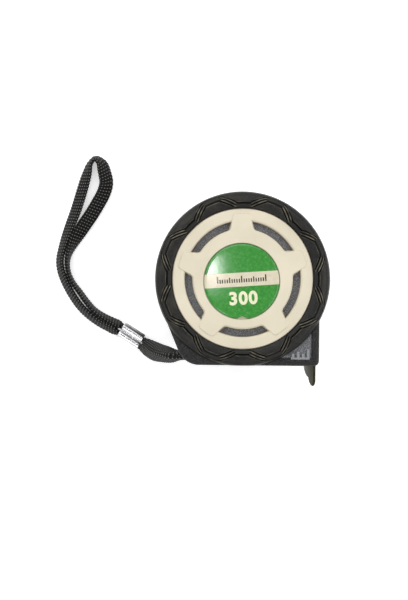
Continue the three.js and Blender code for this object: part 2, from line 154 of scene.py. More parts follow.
def grid_faces(rows, cols, wrap_rows=False, wrap_cols=False, flip=False):
    """Quads of a grid of points stored row by row."""
    faces = []
    for i in range(rows if wrap_rows else rows - 1):
        for j in range(cols if wrap_cols else cols - 1):
            a = i * cols + j
            b = i * cols + (j + 1) % cols
            c = ((i + 1) % rows) * cols + (j + 1) % cols
            d = ((i + 1) % rows) * cols + j
            faces.append((a, d, c, b) if flip else (a, b, c, d))
    return faces


def capped_faces(rows, cols):
    """Faces of a tube of closed rows of points, with both ends filled in."""
    ends = [tuple(reversed(range(cols))), tuple(range((rows - 1) * cols, rows * cols))]
    return grid_faces(rows, cols, wrap_cols=True) + ends


def closed_sheet(name, sheets, rows, columns, sharp):
    """A thin solid from its two faces, each a grid of points, joined round the edge."""
    count = rows * columns
    faces = grid_faces(rows, columns)
    faces += [tuple(v + count for v in reversed(face)) for face in grid_faces(rows, columns)]
    rim = (list(range(columns)) + [i * columns + columns - 1 for i in range(1, rows)]
           + [(rows - 1) * columns + j for j in range(columns - 2, -1, -1)]
           + [i * columns for i in range(rows - 2, 0, -1)])
    faces += [(b, a, a + count, b + count) for a, b in zip(rim, rim[1:] + rim[:1])]
    return mesh_piece(name, np.vstack(sheets), faces, sharp=sharp)


def full_turn(steps):
    return np.linspace(0, 2 * math.pi, steps, endpoint=False)


def smooth(x, low, high):
    """Rises from 0 to 1 between low and high, level at both ends."""
    t = np.clip((np.asarray(x, float) - low) / (high - low), 0, 1)
    return t * t * (3 - 2 * t)


def unit(vectors):
    return vectors / np.maximum(np.linalg.norm(vectors, axis=1, keepdims=True), 1e-9)


def distance_along(points):
    return np.concatenate([[0], np.cumsum(np.linalg.norm(np.diff(points, axis=0), axis=1))])


def running_mean(values, reach):
    """Each value's mean with `reach` neighbours on either side."""
    window = np.ones(2 * reach + 1) / (2 * reach + 1)
    return np.convolve(np.pad(values, reach, mode="edge"), window, "valid")


def baked(piece):
    """The piece with its modifiers applied."""
    graph = bpy.context.evaluated_depsgraph_get()
    mesh = bpy.data.meshes.new_from_object(piece.evaluated_get(graph))
    old = piece.data
    piece.modifiers.clear()
    piece.data = mesh
    bpy.data.meshes.remove(old)
    return piece


def crisp(piece, degrees):
    piece.data.polygons.foreach_set("use_smooth", [True] * len(piece.data.polygons))
    piece.data.set_sharp_from_angle(angle=math.radians(degrees))
    return piece


def store(piece, name, values):
    """Keeps a number for each point, which a material can read by its name."""
    attribute = piece.data.attributes.new(name, "FLOAT", "POINT")
    attribute.data.foreach_set("value", values.astype(np.float32).ravel())


def arc(radius, start, end, steps, x=0.0, y=0.0):
    return [(x + radius * math.cos(a), y + radius * math.sin(a)) for a in np.linspace(start, end, steps)]


def polar(radius, angle):
    return np.array((radius * math.cos(angle), radius * math.sin(angle)))


def prism(name, outline, low, high, edge=0.0, steps=5):
    """An outline raised from low to high, with its top edge rounded by `edge`."""
    outline = np.array(outline, float)
    ahead = unit(np.roll(outline, -1, 0) - outline)
    normal = np.stack([ahead[:, 1], -ahead[:, 0]], 1)
    before = np.roll(normal, 1, 0)
    outward = unit(before + normal)
    outward /= np.maximum((outward * before).sum(1, keepdims=True), 0.4)
    rings = [(0.0, low)]
    if edge:
        rings += [(edge * (1 - math.cos(a)), high - edge + edge * math.sin(a))
                  for a in np.linspace(0, math.pi / 2, steps + 1)]
    else:
        rings.append((0.0, high))
    points = [(x, y, height) for inset, height in rings for x, y in outline - outward * inset]
    return mesh_piece(name, points, capped_faces(len(rings), len(outline)))


def disc_outline(radius, x=0.0, y=0.0, steps=96):
    return arc(radius, 0, 2 * math.pi, steps + 1, x, y)[:-1]


def box_outline(left, bottom, right, top):
    return [(left, bottom), (right, bottom), (right, top), (left, top)]


def combined(piece, tools, operation):
    """The piece after a boolean with each tool, which is used up."""
    for tool in tools:
        boolean = piece.modifiers.new("combine", "BOOLEAN")
        boolean.operation = operation
        boolean.solver = "EXACT"
        boolean.object = tool
    baked(piece)
    for tool in tools:
        mesh = tool.data
        bpy.data.objects.remove(tool)
        bpy.data.meshes.remove(mesh)
    return piece


def cut_away(piece, tools):
    return combined(piece, tools, "DIFFERENCE")


def edge_rounding(piece, width):
    bevel = piece.modifiers.new("edge", "BEVEL")
    bevel.width = width * MM
    bevel.segments = 2
    bevel.limit_method = "ANGLE"
    bevel.angle_limit = math.radians(40)
    bevel.miter_outer = "MITER_ARC"
    return baked(piece)


def flip_side(piece, side):
    """Turns a shape made as a distance out from the parting plane into place on one side."""
    for vertex in piece.data.vertices:
        vertex.co.z = MID_Z * MM + side * vertex.co.z
    if side < 0:
        piece.data.flip_normals()
    piece.data.update()
    return piece


# ---- Materials ----


def linear(red, green, blue):
    """Scene colour of a display colour given as 0 to 255."""
    values = [c / 255 for c in (red, green, blue)]
    return tuple(v / 12.92 if v <= 0.04045 else ((v + 0.055) / 1.055) ** 2.4 for v in values) + (1.0,)


class Look:
    """A node material with a few short-hands for building it."""

    def __init__(self, name, roughness, metallic=0.0):
        self.material = bpy.data.materials.new(name)
        self.material.use_nodes = True
        self.nodes = self.material.node_tree.nodes
        self.links = self.material.node_tree.links
        self.shader = self.nodes["Principled BSDF"]
        self.shader.inputs["Roughness"].default_value = roughness
        self.shader.inputs["Metallic"].default_value = metallic
        self.place = self.nodes.new("ShaderNodeTexCoord").outputs["Object"]

    def set(self, **values):
        for name, value in values.items():
            self.shader.inputs[name.replace("_", " ")].default_value = value
        return self

    def feed(self, value, socket):
        """Sets a socket to a number or a colour, or links it to another node."""
        if isinstance(value, (int, float, tuple)):
            socket.default_value = value
        else:
            self.links.new(value, socket)

    def attribute(self, name):
        node = self.nodes.new("ShaderNodeAttribute")
        node.attribute_name = name
        return node.outputs["Fac"]

    def stretched(self, scale):
        mapping = self.nodes.new("ShaderNodeMapping")
        mapping.inputs["Scale"].default_value = scale
        self.links.new(self.place, mapping.inputs["Vector"])
        return mapping.outputs[0]

    def noise(self, size, detail, vector=None, roughness=0.5):
        """Noise whose features are about `size` millimetres across."""
        node = self.nodes.new("ShaderNodeTexNoise")
        node.inputs["Scale"].default_value = 1 / (size * MM)
        node.inputs["Detail"].default_value = detail
        node.inputs["Roughness"].default_value = roughness
        self.links.new(vector or self.place, node.inputs["Vector"])
        return node.outputs[0]

    def ramp(self, value, stops):
        node = self.nodes.new("ShaderNodeValToRGB")
        elements = node.color_ramp.elements
        while len(elements) < len(stops):
            elements.new(0.5)
        for element, (position, colour) in zip(elements, stops):
            element.position = position
            element.color = colour if len(colour) == 4 else (*colour, 1)
        self.links.new(value, node.inputs[0])
        return node.outputs[0]

    def fade(self, value, low, high, start=0.0):
        """A grey that rises from `start` to white between low and high."""
        return self.ramp(value, [(low, (start, start, start)), (high, (1, 1, 1))])

    def math(self, operation, one, two=None, clamp=False):
        node = self.nodes.new("ShaderNodeMath")
        node.operation = operation
        node.use_clamp = clamp
        self.feed(one, node.inputs[0])
        if two is not None:
            self.feed(two, node.inputs[1])
        return node.outputs[0]

    def times(self, one, two):
        return self.math("MULTIPLY", one, two)

    def mix(self, share, one, two):
        node = self.nodes.new("ShaderNodeMix")
        node.data_type = "RGBA"
        for index, value in ((0, share), (6, one), (7, two)):
            self.feed(value, node.inputs[index])
        return node.outputs[2]

    def span(self, value, low, high):
        node = self.nodes.new("ShaderNodeMapRange")
        node.inputs["To Min"].default_value = low
        node.inputs["To Max"].default_value = high
        self.links.new(value, node.inputs["Value"])
        return node.outputs[0]

    def colour(self, value):
        self.links.new(value, self.shader.inputs["Base Color"])

    def rough(self, value):
        self.links.new(value, self.shader.inputs["Roughness"])

    def bump(self, value, depth, strength):
        """Bump of about `depth` millimetres."""
        node = self.nodes.new("ShaderNodeBump")
        node.inputs["Distance"].default_value = depth * MM
        node.inputs["Strength"].default_value = strength
        self.links.new(value, node.inputs["Height"])
        self.links.new(node.outputs[0], self.shader.inputs["Normal"])
        return self


def grained_plastic(name, low, middle, high, size):
    look = Look(name, roughness=0.62).set(Specular_IOR_Level=0.3)
    grain = look.noise(size, 3, roughness=0.65)
    wide = look.noise(9, 2)
    dark = look.ramp(grain, [(0.36, low), (0.5, middle), (0.66, high)])
    look.colour(look.mix(look.span(wide, 0, 0.2), dark, middle))
    look.rough(look.span(grain, 0.75, 0.5))
    return look.bump(grain, 0.14, 0.9).material


def tread_rubber():
    look = Look("tread_rubber", roughness=0.4).set(Specular_IOR_Level=0.3)
    fine = look.noise(0.45, 4, roughness=0.6)
    wide = look.noise(6, 3)
    body = look.ramp(wide, [(0.35, linear(9, 9, 10)), (0.52, linear(16, 16, 16)), (0.72, linear(38, 36, 29))])
    grain = look.fade(fine, 0.42, 0.66)
    body = look.mix(look.times(grain, 0.3), body, linear(64, 61, 53))
    # Painted highlight: the ridge edges are lightened in patches. Painted shade: the grooves are darkened to
    # near black.
    wear_and_painted_light = look.attribute("wear_and_painted_light")
    patchy = look.fade(look.noise(2.4, 3), 0.4, 0.66, start=0.15)
    patchy_painted_highlight = look.times(look.math("MAXIMUM", wear_and_painted_light, 0.0), patchy)
    painted_groove_shade = look.math("MULTIPLY", wear_and_painted_light, -1.0, clamp=True)
    body = look.mix(painted_groove_shade, body, linear(5, 5, 5))
    look.colour(look.mix(look.times(patchy_painted_highlight, 0.7), body, linear(132, 127, 108)))
    look.rough(look.span(wide, 0.36, 0.56))
    return look.bump(fine, 0.06, 0.6).material


def cream_plastic():
    look = Look("cream_plastic", roughness=0.38)
    wide = look.noise(14, 3)
    specks = look.noise(1.3, 4)
    body = look.ramp(wide, [(0.3, linear(213, 204, 181)), (0.7, linear(222, 213, 191))])
    marks = look.fade(specks, 0.66, 0.76)
    look.colour(look.mix(look.times(marks, 0.25), body, linear(196, 184, 152)))
    look.rough(look.span(specks, 0.32, 0.46))
    return look.bump(look.noise(0.35, 2), 0.012, 0.5).material


def reel_plastic():
    look = Look("reel_plastic", roughness=0.5)
    look.colour(look.ramp(look.noise(5, 2), [(0.3, linear(206, 205, 198)), (0.7, linear(220, 219, 212))]))
    return look.bump(look.noise(0.5, 2), 0.02, 0.5).material


def label_film():
    look = Look("label_film", roughness=0.1)
    film = look.noise(1.1, 4, roughness=0.6)
    green = look.ramp(film, [(0.3, linear(44, 126, 42)), (0.52, linear(54, 140, 52)),
                             (0.72, linear(80, 156, 70))])
    worn = look.fade(look.noise(2.4, 5, roughness=0.7), 0.63, 0.78)
    look.colour(look.mix(look.times(worn, 0.3), green, linear(176, 214, 160)))
    look.set(Coat_Weight=0.6, Coat_Roughness=0.08)
    return look.bump(look.noise(3.5, 2), 0.05, 0.35).material


def print_ink(name, colour):
    look = Look(name, roughness=0.22)
    paler = tuple(min(1.0, c * 1.12) for c in colour[:3]) + (1.0,)
    look.colour(look.ramp(look.noise(1.2, 3), [(0.35, colour), (0.7, paler)]))
    look.set(Coat_Weight=0.5, Coat_Roughness=0.1)
    return look.bump(look.noise(3.5, 2), 0.05, 0.3).material


def braided_yarn():
    look = Look("braided_yarn", roughness=0.5).set(Specular_IOR_Level=0.15)
    fibre = look.noise(0.16, 3)
    # Painted highlight on the stitch tops and painted shade between the stitches, taken from the stitch
    # height.
    stitch_highlight_and_shade = look.ramp(look.attribute("yarn"), [(0.25, linear(3, 3, 3)), (0.55, linear(8, 8, 9)),
                                              (0.8, linear(60, 59, 56)), (0.95, linear(134, 132, 126))])
    look.colour(look.mix(look.span(fibre, 0, 0.3), stitch_highlight_and_shade, linear(20, 20, 20)))
    look.rough(look.span(fibre, 0.4, 0.6))
    return look.bump(fibre, 0.05, 0.6).material


def bright_metal(name, low, high, grain, roughness, relief=0.005):
    look = Look(name, metallic=1.0, roughness=roughness)
    streaks = look.noise(0.25, 3, vector=look.stretched(grain))
    look.colour(look.ramp(streaks, [(0.3, low), (0.7, high)]))
    look.rough(look.span(streaks, roughness * 0.8, roughness * 1.3))
    return look.bump(streaks, relief, 0.3).material if relief else look.material


GRAINED = grained_plastic("grained_plastic", linear(12, 12, 13), linear(27, 27, 27), linear(60, 60, 59), 0.42)
ETCHED = grained_plastic("etched_plastic", linear(66, 67, 70), linear(104, 105, 108),
                         linear(150, 151, 154), 0.3)
RAISED = grained_plastic("raised_plastic", linear(104, 105, 107), linear(132, 134, 137),
                         linear(164, 166, 169), 0.3)
TREAD = tread_rubber()
CREAM = cream_plastic()
REEL = reel_plastic()
FILM = label_film()
CREAM_INK = print_ink("cream_ink", linear(209, 200, 176))
PALE_INK = print_ink("pale_ink", linear(224, 222, 188))
DARK_INK = print_ink("dark_ink", linear(34, 27, 24))
YARN = braided_yarn()
NICKEL = bright_metal("nickel_plate", linear(214, 213, 216), linear(236, 235, 238), (0.1, 0.1, 0.1), 0.2,
                      relief=0)
CLIP_STEEL = bright_metal("clip_steel", linear(178, 178, 180), linear(224, 223, 222), (0.1, 1, 1), 0.24)
SPRING_STEEL = bright_metal("spring_steel", linear(84, 88, 96), linear(130, 133, 140), (1, 1, 0.06), 0.3)
HOOK_STEEL = bright_metal("hook_steel", linear(42, 40, 30), linear(72, 70, 54), (1, 0.15, 1), 0.42)
SCREW_STEEL = bright_metal("screw_steel", linear(120, 122, 126), linear(176, 177, 180), (1, 1, 1), 0.26)


def dress(piece, material, body, slot, *nodes):
    """Material and body of a piece, and the CAD nodes that it stands for, which are hidden; the slot is not
    used.
    """
    piece.data.materials.clear()
    piece.data.materials.append(material)
    if body:
        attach(piece, body)
    if nodes:
        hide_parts(*nodes)
    return piece


# ---- The wrist strap ----

# Centre line from behind the pin in the pocket, through the ferrule, round the loop and back.
STRAP_START = [(-18.1, -28.1, 21.2), (-19.2, -30.2, 21.2)]
STRAP_TAIL_LOWER = [
    (-23.4, -30.4, 20.6), (-26.7, -30.9, 19.4), (-30.5, -30.7, 15.6), (-34.3, -30.1, 10.2),
    (-37.4, -28.6, 5.2), (-39.8, -27.0, 2.6),
]
FERRULE_LOWER = [(-44.4, -24.1, 2.0)]
STRAP_LOOP = [
    (-49.4, -21.2, 2.1), (-52.9, -19.4, 2.0), (-56.6, -17.4, 2.4), (-60.2, -14.8, 3.1),
    (-63.6, -11.6, 3.1), (-66.3, -8.1, 3.1), (-68.7, -4.2, 3.1), (-70.7, -0.2, 3.1),
    (-72.0, 3.8, 3.1), (-72.3, 7.8, 3.1), (-71.4, 12.2, 3.1), (-70.1, 16.6, 3.1),
    (-68.4, 21.4, 2.9), (-66.4, 26.7, 2.8), (-64.8, 31.9, 2.7), (-63.2, 37.5, 2.7),
    (-61.8, 42.4, 2.9), (-60.7, 46.1, 3.1), (-58.6, 48.2, 3.1), (-56.2, 46.6, 3.1),
    (-54.9, 42.8, 2.6), (-54.2, 38.6, 1.9), (-55.3, 34.4, 1.7), (-57.6, 30.0, 1.7),
    (-60.2, 25.6, 1.7), (-63.1, 21.2, 2.0), (-65.7, 16.9, 2.5), (-67.8, 12.7, 2.8),
    (-69.1, 9.0, 3.1), (-69.4, 5.4, 3.1), (-68.6, 1.6, 3.1), (-66.8, -2.0, 3.1),
    (-64.3, -5.3, 3.1), (-61.6, -9.0, 3.1), (-58.4, -12.6, 3.0), (-54.4, -15.3, 2.6),
    (-50.9, -17.1, 2.2), (-47.7, -18.6, 2.1),
]
FERRULE_UPPER = [(-42.8, -21.5, 2.0)]
STRAP_TAIL_UPPER = [
    (-38.0, -24.7, 2.6), (-35.3, -26.2, 5.2), (-32.2, -27.4, 10.2), (-29.0, -28.2, 15.6),
    (-26.2, -28.8, 19.4), (-24.0, -28.6, 20.6),
]
STRAP_END = [(-21.2, -26.4, 21.2), (-18.9, -26.6, 21.2)]
STRAP_ROUTE = (STRAP_START + STRAP_TAIL_LOWER + FERRULE_LOWER + STRAP_LOOP + FERRULE_UPPER
               + STRAP_TAIL_UPPER + STRAP_END)

STRAP_WIDTH = 6.0
STRAP_THICKNESS = 2.0
SQUEEZED = (2.35, 2.2)  # width and thickness inside a barrel of the ferrule
STRAP_STEP = 0.15
STRAP_SIDES = 84
STRAP_WALES = 12  # columns of stitches round the strap
STITCH_PITCH = 1.25
STITCH_RELIEF = 0.21
FERRULE_CENTRE = np.array((-43.6, -22.8, 2.0))
FERRULE_ANGLE = math.radians(148)
FERRULE_AXIS = np.array((math.cos(FERRULE_ANGLE), math.sin(FERRULE_ANGLE), 0))
FERRULE_LENGTH = 9.6

# How far the braid stands on its edge, in degrees, at each point of the loop and of a tail.
LOOP_TILT = [60, 60, 62, 62, 60, 60, 60, 60, 60, 60, 58, 53, 46, 41, 39, 40, 48, 70, 86, 46,
             30, 24, 18, 6, 4, 14, 38, 66, 82, 88, 88, 84, 80, 78, 76, 72, 66, 62]
TAIL_TILT = [84, 66, 56, 52, 52, 60]


def curve_through(points, step):
    """Evenly spaced points on a smooth curve through the given ones, and their distance along it."""
    points = np.array(points, float)
    padded = np.vstack([2 * points[0] - points[1], points, 2 * points[-1] - points[-2]])
    samples = []
    for i in range(1, len(padded) - 2):
        p0, p1, p2, p3 = padded[i - 1:i + 3]
        for t in np.linspace(0, 1, 24, endpoint=False):
            samples.append(0.5 * (2 * p1 + (p2 - p0) * t + (2 * p0 - 5 * p1 + 4 * p2 - p3) * t * t
                                  + (3 * p1 - p0 - 3 * p2 + p3) * t ** 3))
    samples.append(points[-1])
    samples = np.array(samples)
    along = distance_along(samples)
    even = np.linspace(0, along[-1], int(along[-1] / step) + 1)
    return np.stack([np.interp(even, along, samples[:, k]) for k in range(3)], 1), even


def stitch_height(along, around):
    """Height, 0 to 1, of columns of short stitches that run along the strap."""
    column = around * STRAP_WALES
    across = 1 - (2 * (column % 1) - 1) ** 2
    slant = 0.18 * np.floor(column) + 0.1 * (column % 1)
    stitch = 0.5 + 0.5 * np.cos(2 * math.pi * (along / STITCH_PITCH + slant))
    return np.sqrt(np.clip(across, 0, 1)) * (0.15 + 0.85 * stitch ** 1.3)


def make_strap():
    """The flat braid, squeezed in the ferrule, with its stitches raised on the surface."""
    route, along = curve_through(STRAP_ROUTE, STRAP_STEP)
    tangent = unit(np.gradient(route, axis=0))
    tangent = unit(np.stack([running_mean(part, 4) for part in tangent.T], 1))
    side = unit(np.cross(tangent, (0, 0, 1.0)))
    up = np.cross(side, tangent)

    into_ferrule = np.abs((route - FERRULE_CENTRE) @ FERRULE_AXIS)
    near = np.linalg.norm(route - FERRULE_CENTRE, axis=1) < 14
    half = FERRULE_LENGTH / 2
    squeeze = np.where(near, 1 - smooth(into_ferrule, half - 0.4, half + 2.6), 0)
    width = STRAP_WIDTH + (SQUEEZED[0] - STRAP_WIDTH) * squeeze
    thickness = STRAP_THICKNESS + (SQUEEZED[1] - STRAP_THICKNESS) * squeeze

    places = [along[np.argmin(np.linalg.norm(route - point, axis=1))] for point in STRAP_ROUTE]
    plan = [90, 90] + TAIL_TILT + [62] + LOOP_TILT + [62] + TAIL_TILT[::-1] + [90, 90]
    tilt = np.radians(running_mean(np.interp(along, places, plan), 20))[:, None]

    wide = np.cos(tilt) * side + np.sin(tilt) * up
    thick = -np.sin(tilt) * side + np.cos(tilt) * up
    turn = np.linspace(0, 2 * math.pi, 4000)
    c, s = np.cos(turn), np.sin(turn)
    box_x = np.sign(c) * np.abs(c) ** 0.62
    box_y = np.sign(s) * np.abs(s) ** 0.78
    perimeter = distance_along(np.stack([box_x * 3, box_y], 1))
    around = np.arange(STRAP_SIDES) / STRAP_SIDES
    box_x = np.interp(around * perimeter[-1], perimeter, box_x)
    box_y = np.interp(around * perimeter[-1], perimeter, box_y)
    bump = stitch_height(along[:, None], around[None, :])
    half_w = (width / 2 - STITCH_RELIEF)[:, None] + STITCH_RELIEF * bump
    half_t = (thickness / 2 - STITCH_RELIEF)[:, None] + STITCH_RELIEF * bump
    points = (route[:, None, :] + wide[:, None, :] * (half_w * box_x)[:, :, None]
              + thick[:, None, :] * (half_t * box_y)[:, :, None])
    points[:, :, 2] = np.maximum(points[:, :, 2], 0.05)
    strap = mesh_piece("wrist_strap", points.reshape(-1, 3), capped_faces(len(route), STRAP_SIDES))
    # Stitch height, from which the material paints highlights on the stitch tops and shade between them.
    store(strap, "yarn", bump)
    return dress(strap, YARN, "case", "strap_braid",
                 "strap_tail_lower", "strap_loop", "strap_tail_upper"), route


def make_ferrule():
    """Two thin barrels side by side, pressed together from one piece of tube."""
    outer, wall, offset = 1.7, 0.24, 1.55
    turn = full_turn(96)
    c, s = np.abs(np.cos(turn)), np.abs(np.sin(turn))

    def section(radius):
        lobe = offset * c + np.sqrt(np.maximum(radius ** 2 - (offset * s) ** 2, 0.0))
        lobe = np.where(offset * s < radius, lobe, 0)
        waist = radius - 0.62
        return np.maximum(lobe, waist / np.maximum(s, 0.3))

    half = FERRULE_LENGTH / 2
    rows = [(-half + 0.02, outer - 0.16), (-half, outer - 0.1), (-half + 0.08, outer - 0.01)]
    rows += [(x, outer) for x in np.linspace(-half + 0.25, half - 0.25, 12)]
    rows += [(half - 0.08, outer - 0.01), (half, outer - 0.1), (half - 0.02, outer - 0.16)]
    rows += [(half - 0.05, outer - wall), (-half + 0.05, outer - wall)]
    across = np.cross((0, 0, 1.0), FERRULE_AXIS)
    points = []
    for x, radius in rows:
        reach = section(radius)
        ring = (FERRULE_CENTRE + FERRULE_AXIS * x + np.outer(reach * np.cos(turn), across)
                + np.outer(reach * np.sin(turn), (0, 0, 1.0)))
        points.append(ring)
    faces = grid_faces(len(rows), len(turn), True, True)
    ferrule = mesh_piece("ferrule", np.vstack(points), faces, sharp=50)
    return dress(ferrule, NICKEL, "case", "bright_steel", "strap_ferrule")


strap, strap_line = make_strap()
ferrule = make_ferrule()

# ---- Bumper rings ----


def tread_relief(radius, angle):
    """Depth of the tread, a ridge that zigzags between sunk panels with a groove on each side, and its
    painted light.

    The second value is above 0 along the ridge edges, where a highlight is painted, and below 0 in the
    grooves, where shade is painted."""
    quarter = TREAD_STEP / 2
    phase = np.abs((angle + quarter) % TREAD_STEP - quarter)
    wave = np.clip((phase - math.radians(5)) / (quarter - math.radians(10.2)), 0, 1)
    offset = radius - (TREAD_INNER_RADIUS + TREAD_REACH * wave)

    def groove(centre):
        return 1 - smooth(np.abs(offset - centre), 0.15, 0.36)

    slant = smooth(wave, 0.02, 0.14) * (1 - smooth(wave, 0.86, 0.98))
    wide = 1.0 + 0.22 * slant
    grooves = np.maximum(np.maximum(groove(-wide), groove(wide)), groove(0.0) * slant)
    ridge = 1 - smooth(np.abs(offset) - wide, -0.1, 0.25)
    inner_panel = 1 - smooth(offset + wide, -0.35, 0.0)
    outer_panel = smooth(offset - wide, 0.0, 0.35)
    depth = 0.14 * ridge - 0.75 * grooves - 0.3 * inner_panel - 0.2 * outer_panel
    # Painted highlight: thin light lines along the ridge edges. The grooves go negative, for painted shade.
    painted_edge_highlight = np.zeros_like(offset)
    for edge, share, width in ((-0.6, slant, 0.28), (0.6, slant, 0.28),
                               (-wide - 0.42, 0.7, 0.17), (wide + 0.42, 0.7, 0.17)):
        painted_edge_highlight = np.maximum(painted_edge_highlight, np.exp(-((offset - edge) / width) ** 2) * share)
    return depth, painted_edge_highlight - grooves


def bumper_profile():
    """Radius and distance out along the ring's section, from the inner edge over the crest to the skirt."""
    crest = CREST_HALF - 0.05
    pieces = [
        [(BUMPER_INNER_RADIUS, h) for h in np.linspace(DISC_BASE_HALF, crest - 1.0, 4)],
        [(BUMPER_INNER_RADIUS + 0.7 - 0.7 * math.cos(a), crest - 1.0 + 0.7 * math.sin(a))
         for a in np.linspace(0.2, math.pi / 2 - 0.2, 4)],
        [(r, crest - 0.28 + 0.28 * math.sin((r - CREST_INNER_RADIUS) / 1.8 * math.pi / 2))
         for r in np.linspace(CREST_INNER_RADIUS, CREST_RADIUS, 22)],
        [(r, crest - 0.9 * ((r - CREST_RADIUS) / 2.2) ** 2.2)
         for r in np.linspace(CREST_RADIUS + 0.08, SHOULDER_RADIUS, 27)],
        [(SHOULDER_RADIUS + (BUMPER_RADIUS - SHOULDER_RADIUS) * math.sin(a), crest - 2.5 + 1.6 * math.cos(a))
         for a in np.linspace(0.12, math.pi / 2, 17)],
        [(BUMPER_RADIUS, h) for h in np.linspace(crest - 3.0, SKIRT_HALF + 0.3, 8)],
        [(BUMPER_RADIUS - 0.08, SKIRT_HALF + 0.08), (BUMPER_RADIUS - 0.3, SKIRT_HALF)],
        [(BUMPER_SKIRT_RADIUS, SKIRT_HALF), (BUMPER_SKIRT_RADIUS, DISC_BASE_HALF)],
    ]
    return np.array([p for group in pieces for p in group])


def make_bumper(name, side, node):
    section = bumper_profile()
    step = np.roll(section, -1, 0) - np.roll(section, 1, 0)
    normal = unit(np.stack([-step[:, 1], step[:, 0]], 1))
    reach = distance_along(section)
    crest = int(np.argmin(np.abs(section[:, 0] - CREST_RADIUS)))
    spread = section[crest, 0] + (reach - reach[crest])
    angles = full_turn(1080)
    on_face = (section[:, 0] > BUMPER_INNER_RADIUS + 0.1) & (section[:, 1] > SKIRT_HALF + 0.5)
    share = on_face * (1 - smooth(spread, 33.6, 34.6))
    depth, wear_and_painted_light = (field * share[:, None] for field in tread_relief(spread[:, None], angles[None, :]))
    radius = section[:, 0][:, None] + normal[:, 0][:, None] * depth
    height = section[:, 1][:, None] + normal[:, 1][:, None] * depth
    points = np.stack([radius * np.cos(angles), radius * np.sin(angles), height], 2).reshape(-1, 3)
    points[:, 1] = np.maximum(points[:, 1], -CASE_RADIUS)
    faces = grid_faces(len(section), len(angles), True, True, flip=True)
    ring = flip_side(mesh_piece(name, points, faces, sharp=60), side)
    # The material paints highlights on the ridge edges and shade in the grooves from these values.
    store(ring, "wear_and_painted_light", wear_and_painted_light)
    if side < 0:
        ring = cut_away(ring, [
            prism("driver_hole", disc_outline(1.7, *polar(SCREW_CIRCLE_RADIUS + 0.3, a), steps=32),
                  MID_Z - CREST_HALF - 1, MID_Z - 12) for a in SCREW_ANGLES])
        crisp(ring, 50)
    return dress(ring, TREAD, "case", "bumper", node)


make_bumper("front_tread_ring", 1, "front_bumper_ring")
make_bumper("rear_tread_ring", -1, "rear_bumper_ring")

# ---- Face plates ----


def about_spoke(x, y):
    """Distance along and across the nearest spoke, and half the spoke's width there."""
    angle = np.arctan2(y, x) - math.pi / 2 - PLATE_TURN
    angle = (angle + SPOKE_STEP / 2) % SPOKE_STEP - SPOKE_STEP / 2
    radius = np.hypot(x, y)
    along, across = radius * np.cos(angle), np.abs(radius * np.sin(angle))
    return along, across, SPOKE_HALF_WIDTH + (SPOKE_WIDTH_RADIUS - along) * SPOKE_FLARE


def spoke_offset(x, y):
    """Distance outside the five-spoked star, negative inside it."""
    along, across, half_width = about_spoke(x, y)
    corner = 1.1
    dx = along - (SPOKE_END_RADIUS - corner)
    dy = (across - half_width) + corner
    spoke = np.hypot(np.maximum(dx, 0), np.maximum(dy, 0)) + np.minimum(np.maximum(dx, dy), 0) - corner
    hub = np.hypot(x, y) - HUB_RADIUS
    soft = 0.8
    blend = np.clip(0.5 + 0.5 * (hub - spoke) / soft, 0, 1)
    return hub * (1 - blend) + spoke * blend - soft * blend * (1 - blend)


def slot_offset(x, y):
    """Distance outside the nearest arc slot, whose inner corners are rounded."""
    _, across, half_width = about_spoke(x, y)
    end = half_width + 0.1 - across
    radius = np.hypot(x, y)
    inner, outer = SLOT_INNER_RADIUS - radius, radius - SLOT_OUTER_RADIUS
    corner = 0.9
    rounded = np.hypot(np.maximum(end + corner, 0), np.maximum(inner + corner, 0)) - corner
    rounded = rounded + np.minimum(np.maximum(end + corner, inner + corner), 0)
    return np.maximum(rounded, outer)


def plate_height(x, y, recessed):
    """Height of the plate's face, and distance outside the nearest slot."""
    radius = np.hypot(x, y)
    star = 1 - smooth(spoke_offset(x, y), -0.22, 0.12)
    height = DISC_RIM_HALF - 0.12 * np.clip((23.0 - radius) / 4, 0, 1)
    ledge = smooth(radius, 20.9, 21.1) * (1 - smooth(radius, 21.95, 22.35))
    height = height - 0.3 * ledge * (1 - star)
    height = height + (DISC_TOP_HALF - height) * star
    height = height - 0.5 * smooth(radius, 25.9, DISC_RADIUS) ** 2
    if recessed:
        centre_gap = np.hypot(x - LABEL_CENTRE[0], y - LABEL_CENTRE[1])
        lip = smooth(centre_gap, LABEL_RADIUS + 0.02, LABEL_RADIUS + 0.24)
        height = LABEL_FLOOR_HALF + (height - LABEL_FLOOR_HALF) * lip
    slot = slot_offset(x, y)
    wall = smooth(slot, -0.04, 0.05)
    height = DISC_BASE_HALF + 0.25 + (height - DISC_BASE_HALF - 0.25) * wall
    return height, slot


